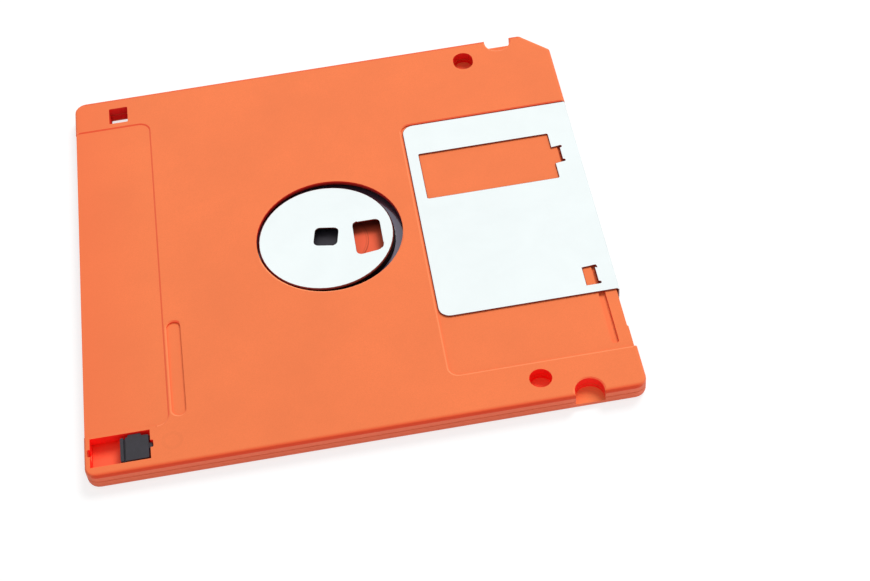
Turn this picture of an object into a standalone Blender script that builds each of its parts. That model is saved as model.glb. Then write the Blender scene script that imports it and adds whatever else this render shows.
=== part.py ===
"""A 3.5-inch floppy disk, hub side up, in metres.

+X points to the shutter's edge, +Y to the side with the density hole and +Z up, away from the label side.
The origin is the middle of the resting face.
"""

import math

import bmesh
import bpy
from mathutils import Vector

# Layers, from either outer face inwards
SHELL_WALL = 0.00085
LINER_SEAT_GAP = 0.0001
LINER_THICKNESS = 0.0002
DISK_RUNNING_GAP = 0.00046
FILM_THICKNESS = 0.00008
SEAM_GAP = 0.0001

# The magnetic disk, and the case drawn round it
FILM_DIAMETER = 0.0858
FILM_HOLE_CLEARANCE = 0.00025
DISK_PLAY = 0.00085
DISK_OFFSET_X = -0.00055
DISK_OFFSET_Y = -0.00033
SIDE_WALL = 0.00125
REAR_WALL = 0.00195
FRONT_RIM = 0.00475
CORNER_RADIUS = 0.0022
CORNER_CUT = 0.0052
CORNER_CUT_RADIUS = 0.0009
CASE_EDGE_RADIUS = 0.0005

# The metal hub
HUB_DIAMETER = 0.0249
HUB_SETBACK = 0.00028
HUB_SHEET = 0.0003
HUB_EDGE_RADIUS = 0.00045
HUB_FLANGE_LAP = 0.0022
HUB_HOLE_CLEARANCE = 0.000925
SPINDLE_HOLE = 0.004
SPINDLE_HOLE_RADIUS = 0.0009
SPINDLE_HOLE_TURN = -12.4
DRIVE_SLOT_TO_RIM = 0.00255
DRIVE_SLOT_LENGTH = 0.0047
DRIVE_SLOT_WIDTH = 0.0074
DRIVE_SLOT_SHIFT = -0.0013
DRIVE_SLOT_RADIUS = 0.0009
ADHESIVE_THICKNESS = 0.0001
ADHESIVE_GAP = 0.00005
ADHESIVE_MARGIN = 0.0003
WEAR_PAD_DIAMETER = 0.0086
WEAR_PAD_THICKNESS = 0.0004
PAD_RING_DIAMETER = 0.0138
PAD_RING_HEIGHT = 0.00012

# The liners, and the strip that lifts one of them
LINER_HOLE_CLEARANCE = 0.0021
LINER_EDGE_GAP = 0.0004
LINER_WINDOW_MARGIN = 0.0008
LIFTER_LENGTH = 0.022
LIFTER_WIDTH = 0.007
LIFTER_THICKNESS = 0.0001
LIFTER_RADIUS = 0.0009
LIFTER_WELL_DEPTH = 0.00015
LIFTER_TO_HUB = 0.0245

# Head windows
HEAD_WINDOW_TO_HUB_HOLE = 0.005725
HEAD_WINDOW_PAST_FILM = 0.0003
HEAD_WINDOW_WIDTH = 0.009
HEAD_WINDOW_RADIUS = 0.0006

# Locating holes, measured from the front edge and the sides
LOCATING_TO_FRONT = 0.0173
LOCATING_TO_SIDE = 0.00495
LOCATING_DIAMETER = 0.0037
LOCATING_SLOT_EXTRA = 0.0008
LOCATING_FLOOR = 0.00085

# Half-round grip notches in both sides
NOTCH_TO_FRONT = 0.0098
NOTCH_RADIUS = 0.0025
NOTCH_STRAIGHT = 0.0009
NOTCH_FLOOR = 0.001

# Label recess on both faces and round the rear edge
LABEL_REACH = 0.0143
LABEL_BACK_TO_SHUTTER = 0.00585
LABEL_TO_SIDE = 0.0084
LABEL_RADIUS = 0.002
LABEL_DEPTH = 0.00015

# Finger slot beside the label
FINGER_SLOT_LENGTH = 0.0206
FINGER_SLOT_WIDTH = 0.00245
FINGER_SLOT_TO_REAR = 0.01625
FINGER_SLOT_TO_SIDE = 0.0201
FINGER_SLOT_DEPTH = 0.0004

# Density hole and write-protect hole
CODE_HOLE_TO_REAR = 0.0085
CODE_HOLE_TO_SIDE = 0.0049
CODE_HOLE_LENGTH = 0.0036
CODE_HOLE_WIDTH = 0.0042
CODE_HOLE_RADIUS = 0.0002

# Write-protect pocket and its slider
POCKET_TO_REAR = 0.001
POCKET_LENGTH = 0.0101
POCKET_TO_SIDE = 0.0019
POCKET_WIDTH = 0.0059
POCKET_STEP = 0.0007
DETENT_REACH = 0.0005
DETENT_WIDTH = 0.0015
SLIDER_LENGTH = 0.0048
SLIDER_WIDTH = 0.0048
SLIDER_END_GAP = 0.0003
SLIDER_GAP = 0.0002
SLIDER_SETBACK = 0.00025
SLIDER_FOOT = 0.0006
SLIDER_RADIUS = 0.0002
SLIDER_GRIP_WIDTH = 0.0003
SLIDER_GRIP_DEPTH = 0.0004
SLIDER_GRIP_TO_END = 0.0006
SLIDER_TONGUE_LENGTH = 0.0021

# Shutter, of folded sheet
SHEET = 0.0002
SHUTTER_GAP = 0.0001
SHUTTER_SETBACK = 0.00005
SHUTTER_PAST_HEAD_WINDOW = 0.00245
SHUTTER_PAST_WINDOW = 0.00795
SHUTTER_CORNER_RADIUS = 0.0021
SHUTTER_FOLD_RADIUS = 0.0004
SHUTTER_EDGE_GAP = 0.0003
SHUTTER_CLOSED_GAP = 0.00025
SHUTTER_WORKING_TRAVEL = 0.0107
SHUTTER_TRAVEL = 0.0126
SHUTTER_OPEN_GAP = 0.00035
SHUTTER_WINDOW_WIDTH = 0.0116
SHUTTER_WINDOW_MARGIN = 0.00025
SHUTTER_WINDOW_RADIUS = 0.0002
RECESS_TO_OPEN_SIDE = 0.0085
RECESS_RADIUS = 0.0018
FRONT_GAP = 0.0004
FRONT_LEDGE = 0.0002
FRONT_LEDGE_LENGTH = 0.0046

# Lanced tabs of the shutter, and the groove they run in
GROOVE_TO_FRONT = 0.0033
GROOVE_WIDTH = 0.0012
GROOVE_DEPTH = 0.0005
GROOVE_END_TO_RECESS = 0.0015
TAB_WIDTH = 0.0032
TAB_LENGTH = 0.0005
TAB_HOLE_REACH = 0.0019
TAB_RELIEF = 0.00045
LOWER_TAB_TO_END = 0.0039

# Shutter spring, its pocket and the tongue it pushes
WIRE_DIAMETER = 0.0004
COIL_RADIUS = 0.0018
COIL_TURNS = 2
COIL_GAP = 0.0001
COIL_CLEARANCE = 0.00095
POCKET_FRONT_WALL = 0.0013
CORNER_POCKET_PAST_TONGUE = 0.00105
SPRING_POCKET_HEIGHT = 0.00125
TONGUE_WIDTH = 0.003
TONGUE_REACH = 0.0032
TONGUE_SLOT_GAP = 0.0003

ARC_STEPS = 6
ROUND_STEPS = 64
FILM_STEPS = 96
OVERRUN = 0.0002
MERGE_DISTANCE = 0.000001

case_thickness = 2 * (SHELL_WALL + LINER_SEAT_GAP + LINER_THICKNESS + DISK_RUNNING_GAP) + FILM_THICKNESS
cavity_radius = FILM_DIAMETER / 2 + DISK_PLAY
case_width = 2 * (cavity_radius + SIDE_WALL)
case_length = 2 * cavity_radius + REAR_WALL + FRONT_RIM
front_x = case_length / 2
rear_x = -case_length / 2
side_y = case_width / 2
hub_x = rear_x + REAR_WALL + cavity_radius
disk_x = hub_x + DISK_OFFSET_X
disk_y = DISK_OFFSET_Y
seam_z = case_thickness / 2
film_low = seam_z - FILM_THICKNESS / 2
film_high = seam_z + FILM_THICKNESS / 2
film_hole = HUB_DIAMETER + 2 * FILM_HOLE_CLEARANCE
hub_hole = HUB_DIAMETER + 2 * HUB_HOLE_CLEARANCE
flange_diameter = film_hole + 2 * HUB_FLANGE_LAP

parts = bpy.data.collections.new("floppy_disk")
cutters = bpy.data.collections.new("cutters")


def clear_scene():
    for item in list(bpy.data.objects):
        bpy.data.objects.remove(item, do_unlink=True)
    bpy.context.scene.collection.children.link(parts)
    bpy.context.scene.collection.children.link(cutters)


def finish(name, colour, roughness, metallic=0.0):
    """A Principled material of one colour."""
    material = bpy.data.materials.new(name)
    material.use_nodes = True
    shader = material.node_tree.nodes["Principled BSDF"]
    shader.inputs["Base Color"].default_value = (*colour, 1.0)
    shader.inputs["Roughness"].default_value = roughness
    shader.inputs["Metallic"].default_value = metallic
    material.diffuse_color = (*colour, 1.0)
    return material


def arc(centre, radius, start, end, steps=ARC_STEPS):
    """Points on an arc between two angles in degrees, both ends included."""
    points = []
    for step in range(steps + 1):
        angle = math.radians(start + (end - start) * step / steps)
        points.append((centre[0] + radius * math.cos(angle), centre[1] + radius * math.sin(angle)))
    return points


def circle(centre, diameter, steps=ROUND_STEPS):
    return arc(centre, diameter / 2, 0, 360, steps)[:-1]


def rounded(corners, steps=ARC_STEPS):
    """A closed outline from corners (x, y, radius), each one rounded by its own radius."""
    points = []
    count = len(corners)
    for index, (x, y, radius) in enumerate(corners):
        here = Vector((x, y))
        if radius <= 0:
            points.append((x, y))
            continue
        before = (Vector(corners[index - 1][:2]) - here).normalized()
        after = (Vector(corners[(index + 1) % count][:2]) - here).normalized()
        half = before.angle(after) / 2
        centre = here + (before + after).normalized() * radius / math.sin(half)
        first = here + before * radius / math.tan(half)
        last = here + after * radius / math.tan(half)
        start = math.atan2(first.y - centre.y, first.x - centre.x)
        turn = math.atan2(last.y - centre.y, last.x - centre.x) - start
        turn = (turn + math.pi) % (2 * math.pi) - math.pi
        points += arc(centre, radius, math.degrees(start), math.degrees(start + turn), steps)
    return points


def box_outline(low_x, high_x, low_y, high_y, radius=0.0, steps=ARC_STEPS):
    corners = [(low_x, low_y), (high_x, low_y), (high_x, high_y), (low_x, high_y)]
    return rounded([(x, y, radius) for x, y in corners], steps)


def prism(name, outlines, low, high, collection=parts):
    """A flat outline, with any inner outlines as holes, drawn as a filled 2D curve and made a mesh."""
    curve = bpy.data.curves.new(name, "CURVE")
    curve.dimensions = "2D"
    curve.fill_mode = "BOTH"
    curve.extrude = (high - low) / 2
    for outline in outlines:
        spline = curve.splines.new("POLY")
        spline.points.add(len(outline) - 1)
        for point, (x, y) in zip(spline.points, outline):
            point.co = (x, y, 0.0, 1.0)
        spline.use_cyclic_u = True
    drawn = bpy.data.objects.new(name + "_curve", curve)
    bpy.context.scene.collection.objects.link(drawn)
    drawn.location.z = (low + high) / 2
    bpy.context.view_layer.update()
    graph = bpy.context.evaluated_depsgraph_get()
    mesh = bpy.data.meshes.new_from_object(drawn.evaluated_get(graph))
    mesh.transform(drawn.matrix_world)
    bpy.data.objects.remove(drawn, do_unlink=True)
    mesh.name = name
    shape = bmesh.new()
    shape.from_mesh(mesh)
    bmesh.ops.remove_doubles(shape, verts=shape.verts, dist=MERGE_DISTANCE)
    bmesh.ops.dissolve_limit(shape, angle_limit=0.001, verts=shape.verts, edges=shape.edges)
    bmesh.ops.recalc_face_normals(shape, faces=shape.faces)
    shape.to_mesh(mesh)
    shape.free()
    piece = bpy.data.objects.new(name, mesh)
    collection.objects.link(piece)
    if collection is cutters:
        piece.hide_render = True
        piece.display_type = "WIRE"
    return piece


def cut(piece, cutter):
    modifier = piece.modifiers.new(cutter.name, "BOOLEAN")
    modifier.operation = "DIFFERENCE"
    modifier.object = cutter
    return modifier


def join(piece, other):
    """Adds a shape to a piece; the shape itself is kept as a hidden helper."""
    modifier = piece.modifiers.new(other.name, "BOOLEAN")
    modifier.operation = "UNION"
    modifier.object = other
    return modifier


def cut_prism(piece, name, outline, low, high):
    return cut(piece, prism(name, [outline], low, high, cutters))


def join_prism(piece, name, outline, low, high):
    return join(piece, prism(name, [outline], low, high, cutters))


def round_rim(piece, z, radius, segments=3):
    """Bevels the outer edges of a fresh prism that lie at height z."""
    shape = bmesh.new()
    shape.from_mesh(piece.data)
    at_rim = {vert for vert in shape.verts if abs(vert.co.z - z) < MERGE_DISTANCE}
    rim = [edge for edge in shape.edges if at_rim.issuperset(edge.verts)]
    made = bmesh.ops.bevel(shape, geom=rim, offset=radius, segments=segments, profile=0.5, affect="EDGES")
    bmesh.ops.triangulate(shape, faces=made["faces"])
    shape.to_mesh(piece.data)
    shape.free()


def apply_modifiers(piece):
    bpy.context.view_layer.update()
    graph = bpy.context.evaluated_depsgraph_get()
    made = bpy.data.meshes.new_from_object(piece.evaluated_get(graph))
    piece.modifiers.clear()
    piece.data = made


def place_origin(piece, x, y, z):
    """Moves a piece's origin to a point of its joint, leaving the shape where it is."""
    for vert in piece.data.vertices:
        vert.co -= Vector((x, y, z))
    piece.location = (x, y, z)


def dress(piece, material, smooth=30):
    piece.data.materials.clear()
    piece.data.materials.append(material)
    piece.data.shade_smooth()
    piece.data.set_sharp_from_angle(angle=math.radians(smooth))


# Places that several pieces share

head_low_x = hub_x + hub_hole / 2 + HEAD_WINDOW_TO_HUB_HOLE
head_high_x = hub_x + FILM_DIAMETER / 2 + HEAD_WINDOW_PAST_FILM
shutter_high = SHUTTER_WORKING_TRAVEL + SHUTTER_WINDOW_WIDTH / 2 + SHUTTER_PAST_WINDOW
recess_high = shutter_high + SHUTTER_CLOSED_GAP
recess_low = -side_y + RECESS_TO_OPEN_SIDE
shutter_low = recess_low + SHUTTER_OPEN_GAP + SHUTTER_TRAVEL
shutter_front = front_x - SHUTTER_SETBACK
shutter_rear = head_low_x - SHUTTER_PAST_HEAD_WINDOW
recess_rear = shutter_rear - SHUTTER_EDGE_GAP
recess_depth = SHUTTER_SETBACK + SHEET + SHUTTER_GAP
recess_front = shutter_front - SHEET - FRONT_GAP
groove_x = front_x - GROOVE_TO_FRONT
locating_x = front_x - LOCATING_TO_FRONT
locating_y = side_y - LOCATING_TO_SIDE
notch_x = front_x - NOTCH_TO_FRONT
notch_y = side_y - NOTCH_STRAIGHT
code_x = rear_x + CODE_HOLE_TO_REAR
code_y = side_y - CODE_HOLE_TO_SIDE
pocket_left = rear_x + POCKET_TO_REAR
pocket_right = pocket_left + POCKET_LENGTH
pocket_low = -side_y + POCKET_TO_SIDE
pocket_high = pocket_low + POCKET_WIDTH
detent_y = -code_y
tongue_y = shutter_low + TONGUE_WIDTH
corner_ring = cavity_radius + SIDE_WALL
corner_rear = locating_x + LOCATING_DIAMETER / 2 + 2 * SIDE_WALL
corner_front = recess_front - POCKET_FRONT_WALL


def case_outline():
    """Outline of the case, with three round corners and one cut off at 45 degrees."""
    return rounded(
        [
            (rear_x, -side_y, CORNER_RADIUS),
            (front_x, -side_y, CORNER_RADIUS),
            (front_x, side_y - CORNER_CUT, CORNER_CUT_RADIUS),
            (front_x - CORNER_CUT, side_y, CORNER_CUT_RADIUS),
            (rear_x, side_y, CORNER_RADIUS),
        ]
    )


def front_inset_outline():
    """What the front edge loses so that the shutter's spine lies flush, with a ledge at the open end."""
    outer = front_x + OVERRUN
    ledge = recess_front + FRONT_LEDGE
    ledge_high = recess_low + FRONT_LEDGE_LENGTH
    return [
        (outer, recess_low),
        (outer, recess_high),
        (recess_front, recess_high),
        (recess_front, ledge_high + FRONT_LEDGE),
        (ledge, ledge_high),
        (ledge, recess_low),
    ]


def label_outline(inner):
    """Label recess of one face, from its inner end out past the rear edge."""
    outer = rear_x - OVERRUN
    low = -side_y + LABEL_TO_SIDE
    return rounded(
        [(outer, low, 0), (inner, low, LABEL_RADIUS), (inner, -low, LABEL_RADIUS), (outer, -low, 0)]
    )


def shutter_recess_outline():
    outer = front_x + OVERRUN
    return rounded(
        [
            (recess_rear, recess_low, RECESS_RADIUS),
            (outer, recess_low, 0),
            (outer, recess_high, 0),
            (recess_rear, recess_high, RECESS_RADIUS),
        ]
    )


def notch_outline(side):
    """Half-round grip notch, open to the side given by +1 or -1."""
    outer = side_y + OVERRUN
    points = arc((notch_x, notch_y), NOTCH_RADIUS, 180, 360, 2 * ARC_STEPS)
    points += [(notch_x + NOTCH_RADIUS, outer), (notch_x - NOTCH_RADIUS, outer)]
    return [(x, side * y) for x, y in points]


def locating_outline(side):
    """Locating hole on one side: round on the open side, a little longer on the other."""
    extra = LOCATING_SLOT_EXTRA / 2 if side > 0 else 0.0
    y = side * locating_y
    points = arc((locating_x, y + extra), LOCATING_DIAMETER / 2, 0, 180, 2 * ARC_STEPS)
    if extra:
        return points + arc((locating_x, y - extra), LOCATING_DIAMETER / 2, 180, 360, 2 * ARC_STEPS)
    return circle((locating_x, y), LOCATING_DIAMETER, 4 * ARC_STEPS)


def code_hole_outline(side):
    """Density hole on the closed side, or write-protect hole on the open one."""
    return box_outline(
        code_x - CODE_HOLE_LENGTH / 2,
        code_x + CODE_HOLE_LENGTH / 2,
        side * code_y - CODE_HOLE_WIDTH / 2,
        side * code_y + CODE_HOLE_WIDTH / 2,
        CODE_HOLE_RADIUS,
        2,
    )


def corner_pocket_outline(side):
    """Hollow between the disk's cavity and the front corner, on the side given by +1 or -1."""
    outer = locating_y - NOTCH_STRAIGHT
    start = math.degrees(math.asin((-tongue_y - CORNER_POCKET_PAST_TONGUE) / corner_ring))
    end = math.degrees(math.acos((corner_rear - hub_x) / corner_ring))
    points = arc((hub_x, 0.0), corner_ring, start, end)
    points += [(corner_rear, outer), (corner_front - CORNER_CUT / 2, outer)]
    points += [(corner_front, outer - CORNER_CUT / 2), (corner_front, points[0][1])]
    return [(x, side * y) for x, y in points]


def cut_shared_features(shell, name, face_z, inward):
    """Cuts that both shells have, from the disk's cavity to the recesses, holes and notches.

    face_z is the shell's outer face, and inward is the direction from it to the seam, as +1 or -1.
    """

    def span(shallow, deep):
        """The z range between two depths below the outer face."""
        return sorted((face_z + inward * shallow, face_z + inward * deep))

    through = span(-OVERRUN, case_thickness)
    cavity = circle((hub_x, 0.0), 2 * cavity_radius, FILM_STEPS)
    cut_prism(shell, name + "_cavity", cavity, *span(SHELL_WALL, case_thickness))
    head = box_outline(
        head_low_x, head_high_x, -HEAD_WINDOW_WIDTH / 2, HEAD_WINDOW_WIDTH / 2, HEAD_WINDOW_RADIUS, 3
    )
    cut_prism(shell, name + "_head_window", head, *through)
    label_end = rear_x + LABEL_REACH if inward < 0 else recess_rear - LABEL_BACK_TO_SHUTTER
    cut_prism(shell, name + "_label_recess", label_outline(label_end), *span(-OVERRUN, LABEL_DEPTH))
    label_y = side_y - LABEL_TO_SIDE
    edge = box_outline(rear_x - OVERRUN, rear_x + LABEL_DEPTH, -label_y, label_y)
    cut_prism(shell, name + "_label_edge", edge, *through)
    cut_prism(shell, name + "_shutter_recess", shutter_recess_outline(), *span(-OVERRUN, recess_depth))
    cut_prism(shell, name + "_front_inset", front_inset_outline(), *through)
    cut_prism(shell, name + "_density_hole", code_hole_outline(1), *through)
    above = case_thickness + OVERRUN
    for side in (-1, 1):
        cut_prism(shell, f"{name}_notch_{side}", notch_outline(side), NOTCH_FLOOR, above)
    pocket_deep = (case_thickness - SPRING_POCKET_HEIGHT) / 2
    for side in (-1, 1):
        outline = corner_pocket_outline(side)
        cut_prism(shell, f"{name}_corner_pocket_{side}", outline, *span(pocket_deep, case_thickness))
    slot = box_outline(
        front_x - TONGUE_REACH - SHEET - TONGUE_SLOT_GAP,
        front_x + OVERRUN,
        recess_low + SHUTTER_CLOSED_GAP,
        tongue_y + TONGUE_WIDTH / 2 + TONGUE_SLOT_GAP,
    )
    slot_reach = seam_z - SHEET / 2 - TONGUE_SLOT_GAP
    cut_prism(shell, name + "_tongue_slot", slot, *span(slot_reach, case_thickness))


def make_hub_side_shell(material):
    low = seam_z + SEAM_GAP / 2
    shell = prism("hub_side_shell", [case_outline()], low, case_thickness)
    round_rim(shell, case_thickness, CASE_EDGE_RADIUS)
    above = case_thickness + OVERRUN
    cut_shared_features(shell, "hub_side", case_thickness, -1)
    cut_prism(shell, "hub_hole", circle((hub_x, 0.0), hub_hole), low - OVERRUN, above)
    for side in (-1, 1):
        cut_prism(shell, f"locating_hole_top_{side}", locating_outline(side), low - OVERRUN, above)
    finger_x = rear_x + FINGER_SLOT_TO_REAR
    finger_y = -side_y + FINGER_SLOT_TO_SIDE
    finger = box_outline(
        finger_x - FINGER_SLOT_WIDTH / 2,
        finger_x + FINGER_SLOT_WIDTH / 2,
        finger_y - FINGER_SLOT_LENGTH / 2,
        finger_y + FINGER_SLOT_LENGTH / 2,
        FINGER_SLOT_WIDTH / 2 - MERGE_DISTANCE,
    )
    cut_prism(shell, "finger_slot", finger, case_thickness - FINGER_SLOT_DEPTH, above)
    pocket = box_outline(pocket_left, pocket_right, pocket_low, pocket_high)
    cut_prism(shell, "slider_pocket", pocket, low - OVERRUN, above)
    detents = box_outline(
        pocket_left - DETENT_REACH,
        pocket_right + DETENT_REACH,
        detent_y - DETENT_WIDTH / 2,
        detent_y + DETENT_WIDTH / 2,
        DETENT_REACH / 2,
        3,
    )
    cut_prism(shell, "slider_detents", detents, low - OVERRUN, above)
    groove = box_outline(
        groove_x - GROOVE_WIDTH / 2,
        groove_x + GROOVE_WIDTH / 2,
        recess_low + GROOVE_END_TO_RECESS,
        SHUTTER_WORKING_TRAVEL + TAB_WIDTH,
        GROOVE_WIDTH / 3,
        3,
    )
    groove_floor = case_thickness - recess_depth - GROOVE_DEPTH
    cut_prism(shell, "tab_groove", groove, groove_floor, above)
    dress(shell, material)
    return shell


def make_label_side_shell(material):
    high = seam_z - SEAM_GAP / 2
    shell = prism("label_side_shell", [case_outline()], 0.0, high)
    round_rim(shell, 0.0, CASE_EDGE_RADIUS)
    cut_shared_features(shell, "label_side", 0.0, 1)
    above = high + OVERRUN
    for side in (-1, 1):
        cut_prism(shell, f"locating_hole_foot_{side}", locating_outline(side), LOCATING_FLOOR, above)
    well = box_outline(
        pocket_left,
        pocket_right,
        pocket_low - POCKET_STEP,
        pocket_high + POCKET_STEP,
    )
    cut_prism(shell, "slider_well", well, SHELL_WALL, above)
    cut_prism(shell, "protect_hole", code_hole_outline(-1), -OVERRUN, above)
    gap = LINER_EDGE_GAP
    lifter_x = hub_x - LIFTER_TO_HUB
    lifter_well = box_outline(
        lifter_x - LIFTER_WIDTH / 2 - gap,
        lifter_x + LIFTER_WIDTH / 2 + gap,
        -LIFTER_LENGTH / 2 - gap,
        LIFTER_LENGTH / 2 + gap,
    )
    cut_prism(shell, "lifter_well", lifter_well, SHELL_WALL - LIFTER_WELL_DEPTH, above)
    ring = circle((hub_x, 0.0), PAD_RING_DIAMETER, ROUND_STEPS // 2)
    join_prism(shell, "pad_ring", ring, SHELL_WALL - OVERRUN, SHELL_WALL + PAD_RING_HEIGHT)
    dress(shell, material)
    return shell


def liner_outline():
    """A ring open at the head window, run from the open side round to it again."""
    outer = cavity_radius - LINER_EDGE_GAP
    inner = flange_diameter / 2 + LINER_HOLE_CLEARANCE
    half = HEAD_WINDOW_WIDTH / 2 + LINER_WINDOW_MARGIN
    outer_start = math.degrees(math.asin(half / outer))
    inner_start = math.degrees(math.asin(half / inner))
    points = arc((hub_x, 0.0), outer, outer_start, 360 - outer_start, FILM_STEPS - 8)
    points += arc((hub_x, 0.0), inner, 360 - inner_start, inner_start, ROUND_STEPS // 2)
    return points


def make_liners(material):
    low = SHELL_WALL + LINER_SEAT_GAP
    under = prism("label_side_liner", [liner_outline()], low, low + LINER_THICKNESS)
    high = case_thickness - low
    over = prism("hub_side_liner", [liner_outline()], high - LINER_THICKNESS, high)
    dress(under, material)
    dress(over, material)
    return under, over


def make_liner_lifter(material):
    x = hub_x - LIFTER_TO_HUB
    low = SHELL_WALL - LIFTER_WELL_DEPTH + LINER_SEAT_GAP / 2
    half = LIFTER_WIDTH / 2
    reach = LIFTER_LENGTH / 2
    outline = box_outline(x - half, x + half, -reach, reach, LIFTER_RADIUS, 2)
    lifter = prism("liner_lifter", [outline], low, low + LIFTER_THICKNESS)
    dress(lifter, material)
    return lifter


def make_film(material):
    outer = circle((disk_x, disk_y), FILM_DIAMETER, FILM_STEPS)
    inner = circle((disk_x, disk_y), film_hole, ROUND_STEPS)
    film = prism("magnetic_film", [outer, inner], film_low, film_high)
    place_origin(film, disk_x, disk_y, seam_z)
    dress(film, material)
    return film


def make_adhesive_ring(material):
    high = film_low - ADHESIVE_GAP
    outer = circle((disk_x, disk_y), flange_diameter - 2 * ADHESIVE_MARGIN, ROUND_STEPS)
    inner = circle((disk_x, disk_y), film_hole + 2 * ADHESIVE_MARGIN, ROUND_STEPS)
    ring = prism("hub_adhesive_ring", [outer, inner], high - ADHESIVE_THICKNESS, high)
    place_origin(ring, disk_x, disk_y, seam_z)
    dress(ring, material)
    return ring


def make_hub_plate(material):
    """A drawn cap with a flange below the film, turned from one profile and pierced for the drive."""
    top = case_thickness - HUB_SETBACK
    flange_top = film_low - ADHESIVE_THICKNESS - 2 * ADHESIVE_GAP
    flange_low = flange_top - HUB_SHEET
    wall = HUB_DIAMETER / 2
    inner_wall = wall - HUB_SHEET
    flange = flange_diameter / 2
    inner_radius = HUB_EDGE_RADIUS - HUB_SHEET
    profile = [(0.0, top)]
    profile += arc((wall - HUB_EDGE_RADIUS, top - HUB_EDGE_RADIUS), HUB_EDGE_RADIUS, 90, 0, 4)
    profile += [(wall, flange_top), (flange, flange_top), (flange, flange_low), (inner_wall, flange_low)]
    under = top - HUB_SHEET
    profile += arc((inner_wall - inner_radius, under - inner_radius), inner_radius, 0, 90, 2)
    profile += [(0.0, under)]
    mesh = bpy.data.meshes.new("hub_plate")
    edges = [(index, index + 1) for index in range(len(profile) - 1)]
    mesh.from_pydata([(x, 0.0, z) for x, z in profile], edges, [])
    plate = bpy.data.objects.new("hub_plate", mesh)
    parts.objects.link(plate)
    plate.location = (disk_x, disk_y, 0.0)
    turn = plate.modifiers.new("turned", "SCREW")
    turn.axis = "Z"
    turn.steps = ROUND_STEPS
    turn.render_steps = ROUND_STEPS
    turn.use_merge_vertices = True
    turn.merge_threshold = 0.000005
    apply_modifiers(plate)
    half = SPINDLE_HOLE / 2
    square = box_outline(-half, half, -half, half, SPINDLE_HOLE_RADIUS, 4)
    spindle = prism("spindle_hole", [square], flange_low - OVERRUN, top + OVERRUN, cutters)
    spindle.location = (disk_x, disk_y, 0.0)
    spindle.rotation_euler.z = math.radians(SPINDLE_HOLE_TURN)
    cut(plate, spindle)
    far = disk_x + HUB_DIAMETER / 2 - DRIVE_SLOT_TO_RIM
    near = far - DRIVE_SLOT_LENGTH
    low = disk_y + DRIVE_SLOT_SHIFT - DRIVE_SLOT_WIDTH / 2
    high = low + DRIVE_SLOT_WIDTH
    slot = rounded(
        [
            (near, low, DRIVE_SLOT_RADIUS),
            (far, low + DRIVE_SLOT_RADIUS * 0.75, DRIVE_SLOT_RADIUS * 1.6),
            (far, high, DRIVE_SLOT_RADIUS),
            (near, high, DRIVE_SLOT_RADIUS),
        ],
        4,
    )
    cut_prism(plate, "drive_slot", slot, flange_low - OVERRUN, top + OVERRUN)
    dress(plate, material)
    return plate


def make_wear_pad(material):
    low = SHELL_WALL + PAD_RING_HEIGHT + LINER_SEAT_GAP
    outline = circle((hub_x, 0.0), WEAR_PAD_DIAMETER, ROUND_STEPS // 2)
    pad = prism("hub_wear_pad", [outline], low, low + WEAR_PAD_THICKNESS)
    dress(pad, material)
    return pad


def make_slider(material):
    """Write-protect slider: a block in the pocket, on a foot that the hub-side shell keeps in."""
    right = pocket_right - SLIDER_END_GAP
    left = right - SLIDER_LENGTH
    low = pocket_low + (POCKET_WIDTH - SLIDER_WIDTH) / 2 - SLIDER_GAP / 2
    high = low + SLIDER_WIDTH
    foot_low = SHELL_WALL + SLIDER_GAP / 2
    foot_high = foot_low + SLIDER_FOOT
    top = case_thickness - SLIDER_SETBACK
    block = box_outline(left, right, low, high, SLIDER_RADIUS, 2)
    slider = prism("write_protect_slider", [block], foot_low, top)
    foot_reach = POCKET_STEP - SLIDER_GAP
    foot = box_outline(left, right, pocket_low - foot_reach, pocket_high + foot_reach)
    join_prism(slider, "slider_foot", foot, foot_low, foot_high)
    middle = (left + right) / 2
    tongue = rounded(
        [
            (middle - SLIDER_TONGUE_LENGTH / 2 - SLIDER_GAP, high - SLIDER_GAP, 0),
            (middle + SLIDER_TONGUE_LENGTH / 2 + SLIDER_GAP, high - SLIDER_GAP, 0),
            (middle + SLIDER_TONGUE_LENGTH / 2, pocket_high - SLIDER_GAP, 0),
            (middle - SLIDER_TONGUE_LENGTH / 2, pocket_high - SLIDER_GAP, 0),
        ]
    )
    join_prism(slider, "slider_tongue", tongue, foot_low, top)
    nub = box_outline(
        right - SLIDER_GAP,
        pocket_right + DETENT_REACH - SLIDER_GAP,
        detent_y - DETENT_WIDTH / 2 + SLIDER_GAP,
        detent_y + DETENT_WIDTH / 2 - SLIDER_GAP,
    )
    join_prism(slider, "slider_nub", nub, seam_z + SLIDER_GAP, top - SLIDER_GAP)
    grip_left = left + SLIDER_GRIP_TO_END
    grip = box_outline(grip_left, grip_left + SLIDER_GRIP_WIDTH, low - OVERRUN, pocket_high)
    cut_prism(slider, "slider_grip", grip, top - SLIDER_GRIP_DEPTH, top + OVERRUN)
    apply_modifiers(slider)
    place_origin(slider, middle, detent_y, seam_z)
    dress(slider, material)
    return slider


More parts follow.
